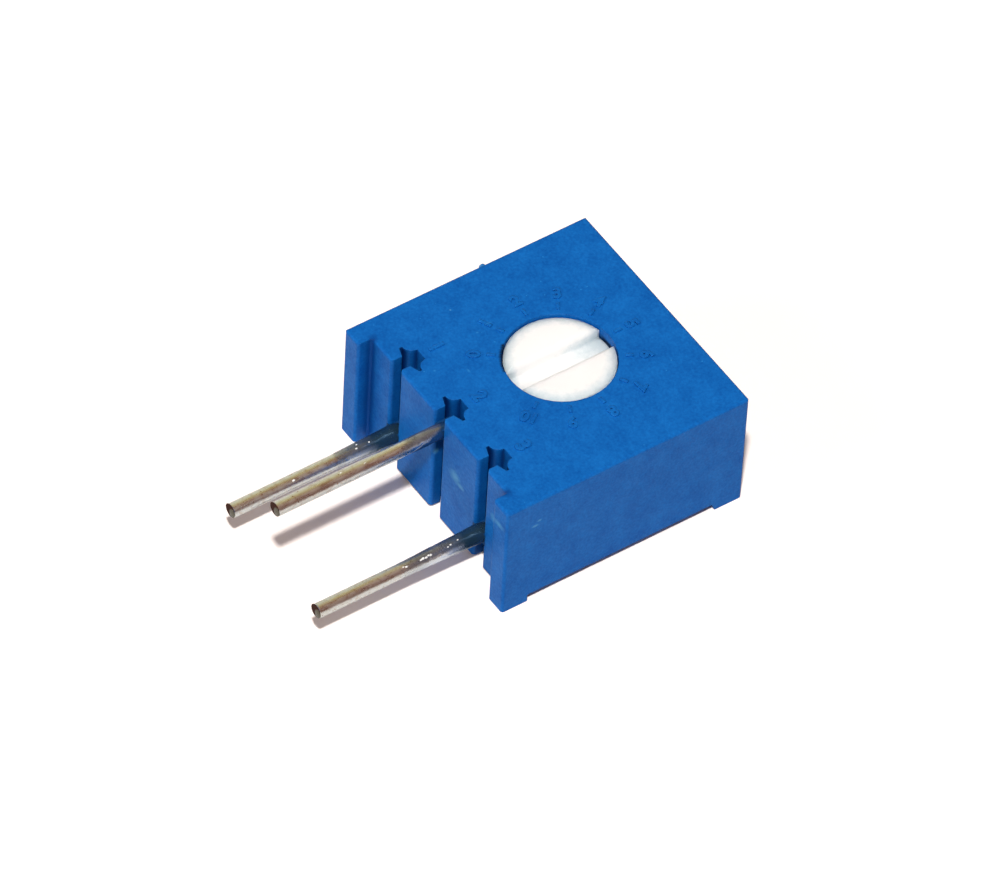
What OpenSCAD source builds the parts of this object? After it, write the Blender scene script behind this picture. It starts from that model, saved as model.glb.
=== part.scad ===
// Square single-turn trimmer potentiometer, lying on its back with the rotor on top.
// Lengths are millimetres. The rotor turns about a vertical axis, X runs across the pins
// and the pins point towards -Y. The origin lies under the middle of the whole part.

/* [Housing size] */
// Width of the housing across the pins
body_w = 9.53; // [9.2:0.01:11]
// Height of the housing from its feet to the adjustment face
body_h = 4.83; // [4.75:0.01:6]
// Distance from the rotor's axis to the stand-offs' faces
axis_to_front = 5.29; // [4.9:0.01:5.8]
// Distance from the rotor's axis to the outside of the back wall
axis_to_back = 4.24; // [4.15:0.01:4.5]

/* [Housing walls] */
// Thickness of the side walls
side_wall = 0.8; // [0.6:0.05:1]
// Thickness of the back wall
back_wall = 0.68; // [0.5:0.02:0.8]
// Thickness of the front wall, which holds the pin slots
front_wall = 1.3; // [1.22:0.02:1.4]
// Thickness of the top wall round the rotor's head
top_wall = 0.8; // [0.6:0.05:0.9]
// Rounding of the upright outer edges
corner_r = 0.12; // [0.05:0.01:0.3]
// Rounding of the edges round the adjustment face, and of the pin wall's upper edge
rim_r = 0.1; // [0.05:0.01:0.2]

/* [Stand-offs and feet] */
// How far the stand-offs reach past the front wall
standoff_reach = 0.53; // [0.4:0.01:0.7]
// Width of each stand-off
standoff_w = 0.8; // [0.6:0.05:1]
// Rounding of the stand-offs' upright edges
standoff_r = 0.1; // [0.05:0.01:0.25]
// Fillet between a stand-off and the front wall
root_r = 0.08; // [0.05:0.01:0.3]
// Height of the relief under the side and back walls
relief_h = 0.31; // [0.2:0.01:0.5]
// Height of the relief under the front wall
front_relief_h = 0.12; // [0.03:0.01:0.15]
// Length of the front feet along the side walls
front_foot = 1; // [0.8:0.05:1.4]
// Length of the back feet along the side walls
back_foot = 1.08; // [0.8:0.02:1.4]
// How much longer a back foot is at the relief's top
foot_slope = 0.13; // [0.05:0.01:0.3]

/* [Pin slots] */
// Distance between neighbouring pins across the front
pitch = 2.54; // [2.4:0.01:2.7]
// Clearance on each side of a pin's square shank
slot_clear = 0.02; // [0.01:0.005:0.05]
// Rounding of the slots' outer lips
lip_r = 0.13; // [0.1:0.01:0.3]
// Distance from the front wall's face to the centre of the well behind a slot
well_depth = 0.75; // [0.7:0.01:0.8]
// Reach of the well's side ears from its centre line
ear_reach = 0.6; // [0.45:0.01:0.7]
// Height of the blunt end of an ear
ear_tip = 0.1; // [0.04:0.01:0.15]
// How far an ear's lower edge slopes from its end to the throat
ear_slope = 0.13; // [0.05:0.01:0.2]

/* [Pins] */
// Diameter of the round pins
pin_d = 0.51; // [0.45:0.01:0.6]
// Length of the pins outside the front wall
pin_reach = 6.35; // [3:0.05:10]
// Height of the two outer pins above the feet
outer_pin_z = 1.49; // [1.35:0.01:1.6]
// Height of the middle pin above the outer two
row_gap = 2.54; // [2.3:0.01:2.7]
// Side of the square shank inside the housing
shank = 0.44; // [0.36:0.01:0.46]
// Centre-line radius of the middle pin's bends
bend_r = 0.35; // [0.3:0.01:0.4]
// Chamfer on the pins' cut ends
tip_chamfer = 0.04; // [0.02:0.01:0.1]
// Lap of the outer shanks over the element's edge
outer_lap = 1; // [0.7:0.05:1.1]
// Lap of the middle shank over the element's edge
middle_lap = 0.62; // [0.4:0.02:0.65]

/* [Rotor] */
// Diameter of the rotor's head
head_d = 3.76; // [3.4:0.02:3.9]
// Radial clearance of the head in the housing
head_clear = 0.04; // [0.03:0.01:0.1]
// Depth of the head's crown below the adjustment face
head_sink = 0; // [0:0.01:0.2]
// Width of the head's rounded rim
head_rim_w = 0.36; // [0.1:0.01:0.4]
// Radius of the rounding of that rim
head_rim_r = 0.6; // [0.5:0.01:1]
// Width of the driver slot
driver_w = 0.82; // [0.6:0.02:0.9]
// Depth of the driver slot
driver_depth = 0.48; // [0.3:0.02:0.6]
// Rounding of the driver slot's upper edges
driver_edge_r = 0.18; // [0.06:0.01:0.24]
// Rounding of the corners of the driver slot's floor
driver_root_r = 0.05; // [0.03:0.01:0.15]
// Diameter of the groove for the seal ring
groove_d = 2.9; // [2.6:0.02:3.1]
// Diameter of the rotor's flange
flange_d = 5.2; // [5:0.02:5.3]
// Thickness of the rotor's flange
flange_t = 0.75; // [0.5:0.05:0.8]
// Axial clearance between the flange and the housing's ledge
axial_clear = 0.03; // [0.01:0.01:0.08]
// Diameter of the two pegs that hold the contact spring
peg_d = 0.44; // [0.3:0.02:0.5]
// Distance of each peg from the axis
peg_x = 0.95; // [0.85:0.05:1.1]
// Length of the pegs below the flange
peg_h = 0.26; // [0.15:0.01:0.4]

/* [End stops] */
// Reach of the rotor's stop lug past the flange
lug_reach = 0.45; // [0.3:0.05:0.5]
// Angle that the stop lug fills
lug_angle = 22; // [15:1:26]
// Travel of the rotor from stop to stop
travel = 310; // [300:1:315]
// Angle left between lug and stop at each end of the travel
stop_gap = 0.2; // [0.1:0.1:1]
// Clearance of the lug and the stop in radius
stop_clear = 0.07; // [0.05:0.01:0.1]

/* [Seal ring] */
// Diameter of the gland that the seal ring sits in
gland_d = 4.7; // [4.5:0.02:4.8]
// Height of the gland
gland_h = 0.9; // [0.8:0.02:1]
// Clearance round the seal ring
seal_clear = 0.02; // [0.01:0.01:0.05]

/* [Resistive element] */
// Thickness of the ceramic substrate
substrate_t = 0.5; // [0.3:0.05:0.6]
// Gap between the substrate and the pocket's walls
substrate_gap = 0.1; // [0.05:0.01:0.2]
// Thickness of the printed films
print_t = 0.02; // [0.01:0.005:0.03]
// Mean radius of the resistive track
track_r = 2.3; // [2.2:0.02:2.35]
// Width of the resistive track
track_w = 0.7; // [0.5:0.02:0.8]
// Angle that the resistive track covers
track_angle = 260; // [240:5:270]
// Mean radius of the collector ring
collector_r = 1; // [0.9:0.02:1.05]
// Width of the collector ring
collector_w = 0.5; // [0.4:0.02:0.6]
// Width of the printed pads under the shanks
pad_w = 0.9; // [0.7:0.02:1]
// Margin of a pad beyond the solder on it
pad_margin = 0.09; // [0.03:0.01:0.15]
// Width of the collector's lead
lead_w = 0.6; // [0.4:0.05:0.8]
// Gap between that lead and the track's ends
lead_gap = 0.4; // [0.2:0.05:0.5]
// Thickness of solder between a pad and its shank
solder_film = 0.015; // [0.005:0.005:0.03]
// Height of the solder above a shank
solder_cap = 0.12; // [0.05:0.01:0.2]

/* [Contact spring] */
// Thickness of the contact spring's metal
spring_t = 0.1; // [0.05:0.01:0.15]
// Radius of the spring's plate
plate_r = 1.45; // [1.35:0.01:1.6]
// Width of each contact finger
finger_w = 0.2; // [0.12:0.01:0.24]
// Distance between neighbouring fingers
finger_pitch = 0.27; // [0.25:0.01:0.3]
// Radius of the fingers' rounded tips
finger_tip_r = 0.08; // [0.06:0.01:0.12]
// Gap between a finger's tip and the film that it sweeps
contact_gap = 0.02; // [0.01:0.01:0.05]

/* [Back seal] */
// Height of the potted seal's outer surface above the feet
seal_z = 0.28; // [0.2:0.01:0.32]
// Radius of the resin collar where an outer pin leaves the housing
collar_r = 0.3; // [0.28:0.01:0.34]
// Length of the resin that creeps along the left pin
left_creep = 1.6; // [0.5:0.1:3]
// Length of the resin that creeps along the right pin
right_creep = 2.1; // [0.5:0.1:3]
// Distance of the resin in the slots behind the front wall's face
fill_recess = 0.45; // [0.3:0.01:0.6]
// Depth of the resin below the axis of an outer pin where it leaves the housing
mouth_drop = 0.3; // [0.26:0.01:0.6]
// Height of the resin in the outer slots
outer_fill = 1.7; // [1.7:0.05:2.2]
// Height of the resin in the middle slot
middle_fill = 3.5; // [0.6:0.05:3.65]

/* [Hidden] */
$fn = 64;

blue = [0.1, 0.38, 0.72];
white = [0.95, 0.95, 0.93];
tin = [0.72, 0.68, 0.6];
over = 1;

// Plan positions, measured from the rotor's axis
front_y = -axis_to_front;
wall_y = front_y + standoff_reach;
well_y = wall_y + well_depth;
tip_y = wall_y - pin_reach;
axis_y = -(tip_y + axis_to_back) / 2;
pocket_x = body_w / 2 - side_wall;
pocket_front = wall_y + front_wall;
pocket_back = axis_to_back - back_wall;
pin_r = pin_d / 2;
slot_half = shank / 2 + slot_clear;
lobe_y = well_y + slot_half;
mouth_gap = min(lip_r, slot_half + lip_r - pin_r - slot_clear);
mouth_entry = lip_r - sqrt(lip_r * lip_r - mouth_gap * mouth_gap);

// Heights above the feet
middle_pin_z = outer_pin_z + row_gap;
head_z = body_h - head_sink;
gland_z = body_h - top_wall;
ledge_z = gland_z - gland_h;
flange_top = ledge_z - axial_clear;
flange_z = flange_top - flange_t;
plate_z = flange_z - spring_t;
seat_z = outer_pin_z - shank / 2 - solder_film - print_t;
print_z = seat_z + print_t;
contact_z = print_z + contact_gap;
notch_z = outer_pin_z + slot_half;
bay_z = outer_pin_z + shank / 2 + solder_cap + slot_half;

// Radii of the rotor and its cavity
head_r = head_d / 2;
bore_r = head_r + head_clear;
flange_r = flange_d / 2;
lug_r = flange_r + lug_reach;
cavity_r = lug_r + stop_clear;
stop_angle = 360 - travel - lug_angle - 2 * stop_gap;
seal_r = min(gland_d / 4 - groove_d / 4, gland_h / 2) - seal_clear;
seal_mid_r = (gland_d + groove_d) / 4;

// The element's outline and the bay over its front edge
sub_x = pocket_x - substrate_gap;
sub_front = pocket_front + substrate_gap;
sub_back = pocket_back - substrate_gap;
solder_end = 0.06;
pad_front = sub_front + pad_margin;
pad_back = sub_front + outer_lap + solder_end + pad_margin;
link_x = 0.85 * track_r;
link_y = -0.7 * track_r;
bay_x = pitch + pad_w / 2 + pad_margin;
bay_back = max(pad_back + pad_margin, link_y - 0.2);

// Moves what is drawn round the rotor's axis to its place in the part
module on_axis() {
    translate([0, axis_y, 0]) children();
}

// A block between two opposite corners
module block(low, high) {
    translate(low) cube(high - low);
}

// A flat outline drawn in Y and Z, drawn out along X between two places
module along_x(x0, x1) {
    translate([x0, 0, 0]) rotate([90, 0, 90]) linear_extrude(x1 - x0) children();
}

// A flat outline drawn in X and Z, drawn out along Y between two places
module along_y(y0, y1) {
    translate([0, y1, 0]) rotate([90, 0, 0]) linear_extrude(y1 - y0) children();
}

// A rectangle whose two far corners, at y1, are rounded
module arched(x0, x1, y0, y1, r) {
    translate([x0, y0]) square([x1 - x0, y1 - y0 - r]);
    translate([x0 + r, y0]) square([x1 - x0 - 2 * r, y1 - y0]);
    for (x = [x0 + r, x1 - r]) translate([x, y1 - r]) circle(r);
}

// The corner left outside a quarter circle, pointing to +X and +Y from its centre
module spandrel(r) {
    difference() {
        square(r);
        circle(r);
    }
}

// A wedge of a disc, centred on the direction given, for angles under 180 degrees
module wedge(r, angle, direction) {
    reach = r / cos(angle / 4) * 1.2;
    polygon(concat([[0, 0]], [
        for (k = [-2:2]) reach * [cos(direction + k * angle / 4), sin(direction + k * angle / 4)]
    ]));
}

// A ring between two radii
module ring(inner, outer) {
    difference() {
        circle(outer);
        circle(inner);
    }
}

// Plan of one pin slot: a throat with rounded lips, and an eared well behind it
module slot_plan() {
    ear_r = ear_reach - slot_half;
    ear_y = lobe_y - ear_r;
    neck_y = ear_y - ear_tip - ear_slope;
    difference() {
        polygon([
            [-slot_half, lobe_y], [slot_half, lobe_y],
            [ear_reach, ear_y], [ear_reach, ear_y - ear_tip], [slot_half, neck_y],
            [-slot_half, neck_y], [-ear_reach, ear_y - ear_tip], [-ear_reach, ear_y]
        ]);
        for (side = [-1, 1]) translate([side * ear_reach, lobe_y]) circle(ear_r);
    }
    translate([-slot_half, wall_y - over]) square([2 * slot_half, well_y - wall_y + over]);
    for (side = [0, 1]) mirror([side, 0])
        translate([slot_half + lip_r, wall_y + lip_r]) rotate(180) spandrel(lip_r);
}

// Plan of the housing: a block, two stand-offs with filleted roots, and three slots
module housing_plan() {
    difference() {
        union() {
            arched(-body_w / 2, body_w / 2, wall_y, axis_to_back, corner_r);
            for (side = [0, 1]) mirror([side, 0]) {
                rotate(180) arched(-body_w / 2, standoff_w - body_w / 2,
                    -wall_y - root_r, -front_y, standoff_r);
                translate([body_w / 2 - standoff_w - root_r, wall_y - root_r]) spandrel(root_r);
            }
        }
        for (k = [-1:1]) translate([k * pitch, 0]) slot_plan();
    }
}

// The housing's outside: its plan, with the edges of the adjustment face rounded
module housing_blank() {
    inner_x = body_w / 2 - standoff_w - root_r;
    difference() {
        intersection() {
            linear_extrude(body_h) housing_plan();
            along_x(-body_w, body_w) arched(front_y, axis_to_back, 0, body_h, rim_r);
            along_y(front_y - over, axis_to_back + over)
                arched(-body_w / 2, body_w / 2, 0, body_h, rim_r);
        }
        along_x(-inner_x, inner_x)
            translate([wall_y + rim_r, body_h - rim_r]) mirror([1, 0]) spandrel(rim_r);
    }
}

// Relief under the walls, which leaves a foot at each corner
module relief() {
    foot_front = front_y + front_foot;
    foot_back = axis_to_back - back_foot;
    for (side = [0, 1]) mirror([side, 0, 0])
        along_x(pocket_x, body_w / 2 + over)
            polygon([
                [foot_front, -over], [foot_front, relief_h],
                [foot_back - foot_slope, relief_h], [foot_back, 0], [foot_back, -over]
            ]);
    block([-pocket_x, pocket_back, -over], [pocket_x, axis_to_back + over, relief_h]);
    block([standoff_w + root_r - body_w / 2, wall_y - over, -over],
        [body_w / 2 - standoff_w - root_r, pocket_front, front_relief_h]);
}

// The rotor's cavity: bore, seal gland, and the flange's well with its end stop standing in it
module rotor_cavity() {
    cylinder(r = bore_r, h = body_h + over);
    translate([0, 0, ledge_z - over / 2]) cylinder(d = gland_d, h = gland_h + over / 2);
    difference() {
        translate([0, 0, seat_z - over / 10]) cylinder(r = cavity_r, h = ledge_z - seat_z + over / 10);
        translate([0, 0, flange_z]) linear_extrude(body_h) intersection() {
            ring(flange_r + stop_clear, cavity_r + over);
            wedge(cavity_r + over, stop_angle, -90);
        }
    }
}

// Pocket for the element, the bay over its terminals, and the ways in for the pins
module element_pocket() {
    block([-pocket_x, pocket_front, -over], [pocket_x, pocket_back, seat_z]);
    block([-bay_x, pocket_front, 0], [bay_x, bay_back, bay_z]);
    for (k = [-1:1])
        block([k * pitch - slot_half, well_y, -over],
            [k * pitch + slot_half, pocket_front + over / 4, k == 0 ? outer_pin_z + bend_r : notch_z]);
}

module housing() {
    color(blue) on_axis() difference() {
        housing_blank();
        relief();
        rotor_cavity();
        element_pocket();
    }
}

// Half-section of the rotor: head with a rounded rim, seal groove and flange
module rotor_section() {
    rim_drop = head_rim_r - sqrt(head_rim_r * head_rim_r - head_rim_w * head_rim_w);
    translate([0, gland_z]) square([head_r, head_z - gland_z - rim_drop]);
    translate([0, gland_z]) square([head_r - head_rim_w, head_z - gland_z]);
    intersection() {
        translate([head_r - head_rim_w, head_z - head_rim_r]) circle(head_rim_r);
        translate([0, gland_z]) square([head_r, head_z - gland_z]);
    }
    translate([0, flange_z]) square([groove_d / 2, gland_z - flange_z]);
    translate([0, flange_z]) square([flange_r, flange_t]);
}

// Cross-section of the driver slot: rounded floor corners and rounded edges
module driver_section() {
    half = driver_w / 2;
    floor_z = head_z - driver_depth;
    translate([-half, floor_z + driver_root_r]) square([driver_w, driver_depth + over]);
    translate([driver_root_r - half, floor_z])
        square([driver_w - 2 * driver_root_r, driver_root_r * 2]);
    for (side = [0, 1]) mirror([side, 0]) {
        translate([half - driver_root_r, floor_z + driver_root_r]) circle(driver_root_r);
        translate([half + driver_edge_r, head_z - driver_edge_r])
            mirror([1, 0]) spandrel(driver_edge_r);
    }
}

module rotor() {
    color(white) on_axis() {
        difference() {
            rotate_extrude() rotor_section();
            along_y(-head_r - over, head_r + over) driver_section();
        }
        translate([0, 0, flange_z]) linear_extrude(flange_t) intersection() {
            ring(groove_d / 2, lug_r);
            wedge(lug_r, lug_angle, 90);
        }
        for (side = [-1, 1])
            translate([side * peg_x, 0, flange_z - peg_h]) cylinder(d = peg_d, h = peg_h + flange_t / 2);
    }
}

module seal_ring() {
    color([0.25, 0.25, 0.27]) on_axis()
        translate([0, 0, ledge_z + gland_h / 2]) rotate_extrude() translate([seal_mid_r, 0]) circle(seal_r);
}

// A spring finger that slopes from the plate at start_y to a rounded tip at end_y
module finger(x, start_y, end_y) {
    out = sign(end_y - start_y);
    root_y = start_y - out * 2 * spring_t;
    tip_z = contact_z + finger_tip_r;
    translate([x, 0, 0]) along_x(-finger_w / 2, finger_w / 2) {
        polygon([
            [root_y, plate_z + spring_t], [start_y, plate_z + spring_t],
            [end_y, tip_z + spring_t], [end_y, tip_z],
            [start_y - out * spring_t / 2, plate_z], [root_y, plate_z]
        ]);
        translate([end_y, tip_z]) circle(finger_tip_r);
    }
}

module contact_spring() {
    window = 2 * finger_pitch + finger_w / 2;
    root = collector_r - collector_w - finger_w;
    color("goldenrod") on_axis() {
        difference() {
            translate([0, 0, plate_z]) cylinder(r = plate_r, h = spring_t);
            for (side = [-1, 1])
                translate([side * peg_x, 0, 0]) cylinder(d = peg_d, h = body_h);
            block([-window / 2, -collector_r - finger_w, 0], [window / 2, -root, body_h]);
        }
        for (k = [-1:1]) finger(k * finger_pitch, plate_r - spring_t, track_r);
        for (k = [-0.5, 0.5]) finger(k * finger_pitch, -root, -collector_r);
    }
}

module substrate() {
    color([0.93, 0.92, 0.88]) on_axis()
        block([-sub_x, sub_front, seat_z - substrate_t], [sub_x, sub_back, seat_z]);
}

// Everything printed on the substrate's face has the same thickness
module printed() {
    on_axis() translate([0, 0, seat_z]) linear_extrude(print_t) children();
}

module resistive_track() {
    color([0.16, 0.15, 0.15]) printed() difference() {
        ring(track_r - track_w / 2, track_r + track_w / 2);
        wedge(track_r + track_w, 360 - track_angle, -90);
    }
}

module collector_track() {
    color("silver") printed() {
        ring(collector_r - collector_w / 2, collector_r + collector_w / 2);
        translate([-lead_w / 2, pad_front]) square([lead_w, -pad_front - collector_r]);
        translate([-pad_w / 2, pad_front])
            square([pad_w, -track_r - track_w / 2 - pad_front]);
    }
}

// A track's end: an arc that meets the track, a pad under the outer shank and a link
module termination() {
    pad_x = pitch - pad_w / 2;
    color("silver") printed() {
        intersection() {
            ring(track_r - track_w / 2, track_r + track_w / 2);
            wedge(track_r + track_w, 360 - track_angle, -90);
            translate([lead_w / 2 + lead_gap, -cavity_r]) square([cavity_r, cavity_r]);
        }
        translate([pad_x, pad_front]) square([pad_w, pad_back - pad_front]);
        polygon([
            [pad_x, pad_back - pad_margin], [pad_x + pad_w / 2, pad_back - pad_margin],
            [track_r, link_y], [link_x, link_y]
        ]);
    }
}

module left_termination() {
    mirror([1, 0, 0]) termination();
}

module right_termination() {
    termination();
}

// The round length of a pin outside the housing, at height z
module pin_wire(z) {
    length = wall_y + mouth_entry - tip_y;
    translate([0, tip_y, z]) rotate([-90, 0, 0]) {
        cylinder(r1 = pin_r - tip_chamfer, r2 = pin_r, h = tip_chamfer);
        translate([0, 0, tip_chamfer]) cylinder(r = pin_r, h = length - tip_chamfer);
    }
}

// A straight stretch of square shank along Y
module shank_bar(y0, y1, z) {
    block([-shank / 2, y0, z - shank / 2], [shank / 2, y1, z + shank / 2]);
}

// A quarter bend of square shank about a point, lying above and behind it when turn is 0
module shank_bend(y, z, turn) {
    translate([0, y, z]) rotate([turn, 0, 0]) rotate([90, 0, 90])
        rotate_extrude(angle = 90) translate([bend_r, 0]) square(shank, center = true);
}

module outer_pin(x) {
    color(tin) on_axis() translate([x, 0, 0]) {
        pin_wire(outer_pin_z);
        shank_bar(wall_y + mouth_entry - 0.02, sub_front + outer_lap, outer_pin_z);
    }
}

module left_pin() {
    outer_pin(-pitch);
}

module right_pin() {
    outer_pin(pitch);
}

// The middle pin climbs its well from the element to the upper row
module middle_pin() {
    low_z = outer_pin_z + bend_r;
    high_z = middle_pin_z - bend_r;
    color(tin) on_axis() {
        pin_wire(middle_pin_z);
        shank_bar(wall_y + mouth_entry - 0.02, well_y - bend_r, middle_pin_z);
        shank_bend(well_y - bend_r, high_z, 0);
        block([-shank / 2, well_y - shank / 2, low_z], [shank / 2, well_y + shank / 2, high_z]);
        shank_bend(well_y + bend_r, low_z, 180);
        shank_bar(well_y + bend_r, sub_front + middle_lap, outer_pin_z);
    }
}

// A ridge of solder over the inner end of a shank
module solder(x, lap) {
    foot = pad_w / 2 - pad_margin / 2;
    crest = shank / 2 + solder_film;
    top = outer_pin_z + shank / 2 + solder_cap;
    color([0.8, 0.8, 0.82]) on_axis() translate([x, 0, 0]) difference() {
        along_y(pad_front, sub_front + lap + solder_end)
            polygon([[-foot, print_z], [foot, print_z], [crest, top], [-crest, top]]);
        shank_bar(pad_front - over, sub_front + lap, outer_pin_z);
    }
}

module left_solder() {
    solder(-pitch, outer_lap);
}

module middle_solder() {
    solder(0, middle_lap);
}

module right_solder() {
    solder(pitch, outer_lap);
}

// Resin that has crept along an outer pin, thinning towards its tip
module collar(length) {
    thin = 0.012;
    translate([0, wall_y + 0.02, outer_pin_z]) rotate([90, 0, 0]) {
        cylinder(r1 = collar_r, r2 = (collar_r + pin_r) / 2, h = length * 0.45);
        translate([0, 0, length * 0.45])
            cylinder(r1 = (collar_r + pin_r) / 2, r2 = pin_r + thin, h = length * 0.55);
    }
}

// Resin in part of a slot, from the place front and the height low
module slot_block(front, low, top) {
    intersection() {
        linear_extrude(top) slot_plan();
        block([-pitch / 2, front, low], [pitch / 2, pocket_front, top]);
    }
}

// Resin that fills a slot behind its mouth and the way in behind it, up to a height
module slot_fill(top) {
    slot_block(wall_y + fill_recess, seal_z, top);
    block([-slot_half, well_y, seal_z], [slot_half, pocket_front + over / 4, min(top, notch_z)]);
}

// Resin in an outer slot: the deep filling, what closes the mouth, and the creep on the pin
module outer_fillings(creep) {
    slot_fill(outer_fill);
    slot_block(wall_y, outer_pin_z - mouth_drop, outer_fill);
    collar(creep);
}

module back_seal() {
    color([0.08, 0.14, 0.26]) on_axis() difference() {
        union() {
            block([-pocket_x, pocket_front, seal_z], [pocket_x, pocket_back, seat_z]);
            translate([-pitch, 0, 0]) outer_fillings(left_creep);
            slot_fill(middle_fill);
            translate([pitch, 0, 0]) outer_fillings(right_creep);
        }
        block([-sub_x, sub_front, seat_z - substrate_t], [sub_x, sub_back, seat_z + over]);
        block([-bay_x, pocket_front, seat_z], [bay_x, bay_back, bay_z]);
        translate([0, -axis_y, 0]) {
            left_pin();
            middle_pin();
            right_pin();
        }
    }
}

housing();
rotor();
seal_ring();
contact_spring();
substrate();
resistive_track();
collector_track();
left_termination();
right_termination();
left_pin();
middle_pin();
right_pin();
left_solder();
middle_solder();
right_solder();
back_seal();
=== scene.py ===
import math

import bpy
from mathutils import Matrix, Vector


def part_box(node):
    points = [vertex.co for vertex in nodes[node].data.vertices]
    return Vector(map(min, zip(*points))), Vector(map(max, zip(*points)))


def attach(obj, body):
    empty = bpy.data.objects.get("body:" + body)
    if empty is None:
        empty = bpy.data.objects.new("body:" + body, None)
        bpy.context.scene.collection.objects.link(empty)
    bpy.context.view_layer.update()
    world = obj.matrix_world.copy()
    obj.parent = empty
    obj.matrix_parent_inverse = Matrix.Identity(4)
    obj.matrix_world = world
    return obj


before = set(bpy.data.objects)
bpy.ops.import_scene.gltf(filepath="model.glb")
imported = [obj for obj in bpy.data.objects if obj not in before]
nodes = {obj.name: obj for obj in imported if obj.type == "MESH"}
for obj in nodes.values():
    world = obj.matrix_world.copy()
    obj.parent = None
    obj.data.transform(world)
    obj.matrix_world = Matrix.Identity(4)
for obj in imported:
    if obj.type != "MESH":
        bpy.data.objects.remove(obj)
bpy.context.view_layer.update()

mm = 0.001

# Places that the pieces are measured from, taken from the frame
housingLow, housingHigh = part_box("housing")
sealLow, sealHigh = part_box("seal_ring")
axisY = (sealLow.y + sealHigh.y) / 2  # the rotor's axis, at x 0
topZ = housingHigh.z  # the adjustment face
standOff = 0.53 * mm  # how far the stand-offs reach in front of the pins' wall
wallY = housingLow.y + standOff
pinNames = ("left_pin", "middle_pin", "right_pin")
pinBoxes = {name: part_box(name) for name in pinNames}
pinRadius = (pinBoxes["left_pin"][1].x - pinBoxes["left_pin"][0].x) / 2
pinTipY = pinBoxes["left_pin"][0].y


def pinCentre(name):  # x and z of a pin's axis, from its round length in front of the wall
    low, high = pinBoxes[name]
    z = high.z - pinRadius if name == "middle_pin" else (low.z + high.z) / 2
    return (low.x + high.x) / 2, z


def deselectAll():
    if bpy.context.object and bpy.context.object.mode != "OBJECT":
        bpy.ops.object.mode_set(mode="OBJECT")
    bpy.ops.object.select_all(action="DESELECT")


def activate(obj):
    deselectAll()
    obj.select_set(True)
    bpy.context.view_layer.objects.active = obj


def applyModifier(obj, kind, **settings):
    activate(obj)
    modifier = obj.modifiers.new(kind.title(), kind)
    for key, value in settings.items():
        setattr(modifier, key, value)
    bpy.ops.object.modifier_apply(modifier=modifier.name)


def applyPlace(obj):  # the place goes into the mesh, and the object stays at the origin
    activate(obj)
    bpy.ops.object.transform_apply(location=True, rotation=True, scale=True)


def joinAll(parts):
    activate(parts[0])
    for part in parts:
        part.select_set(True)
    bpy.ops.object.join()
    return bpy.context.object


def finishPiece(obj, name, material, body, angle=35):
    obj.name = name
    applyPlace(obj)
    bpy.ops.object.shade_smooth_by_angle(angle=math.radians(angle))
    obj.data.materials.clear()
    obj.data.materials.append(material)
    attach(obj, body)


def sideOf(azimuth, elevation):  # the way out at these degrees round from -Y towards +X, and up
    a, e = math.radians(azimuth), math.radians(elevation)
    return Vector((math.sin(a) * math.cos(e), -math.cos(a) * math.cos(e), math.sin(e)))


print("Camera")

camera = {
    "azimuth": 53.47,  # degrees
    "elevation": 48.45,
    "roll": 3.44,
    "distance": 350 * mm,
    "aim": (0.126 * mm, axisY - 2.345 * mm, 2.4 * mm),
    "lens": 384.98,
    "sensor": 36,
    "clip": (0.01, 20),
}


def makeCamera(c):
    data = bpy.data.cameras.new("camera")
    obj = bpy.data.objects.new("camera", data)
    bpy.context.scene.collection.objects.link(obj)
    back = sideOf(c["azimuth"], c["elevation"])
    obj.location = Vector(c["aim"]) + back * c["distance"]
    turn = (-back).to_track_quat("-Z", "Y").to_matrix().to_4x4()
    obj.rotation_euler = (turn @ Matrix.Rotation(math.radians(c["roll"]), 4, "Z")).to_euler()
    data.lens = c["lens"]
    data.sensor_width = c["sensor"]
    data.clip_start, data.clip_end = c["clip"]
    bpy.context.scene.camera = obj


makeCamera(camera)

print("Light and floor")

studio = {
    "lamps": {"key": {"azimuth": 51.5, "elevation": 61.7, "size": 0.03, "power": 2.5},
              "fill": {"azimuth": -15, "elevation": 25, "size": 0.3, "power": 0.55}},
    "lampDistance": 0.5,
    "lampColor": (1.0, 0.985, 0.95),
    "skyColor": (1.0, 0.78, 0.7),
    "skyStrength": 0.19,
    "paperSize": 6,
    "paperColor": (1.17, 1.07, 1.03),  # as the camera sees it
    "paperBounce": (0.72, 0.72, 0.72),  # as it lights the object
    "paperFade": (0.04, 0.12),  # between these distances the floor fades to plain white
    "paleSide": (-1.0, 0.0, 0.35),
    "room": [(0.0, (0.2, 0.11, 0.09)), (0.366, (0.18, 0.075, 0.047)), (0.595, (0.24, 0.12, 0.056)),
             (0.74, (0.4, 0.3, 0.14)), (0.85, (0.54, 0.46, 0.23)), (1.0, (0.7, 0.7, 0.56))],
}


def makeLamps(s):
    for name, lamp in s["lamps"].items():
        side = sideOf(lamp["azimuth"], lamp["elevation"])
        data = bpy.data.lights.new(name, "AREA")
        data.shape = "DISK"
        data.size = lamp["size"]
        data.energy = lamp["power"]
        data.color = s["lampColor"]
        obj = bpy.data.objects.new(name, data)
        bpy.context.scene.collection.objects.link(obj)
        obj.location = Vector((0, 0, topZ / 2)) + side * s["lampDistance"]
        obj.rotation_euler = (-side).to_track_quat("-Z", "Y").to_euler()


def addNode(tree, kind, **values):
    node = tree.nodes.new("ShaderNode" + kind)
    for key, value in values.items():
        if key in node.bl_rna.properties:
            setattr(node, key, value)
        else:
            node.inputs[key.replace("_", " ")].default_value = value
    return node


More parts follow.
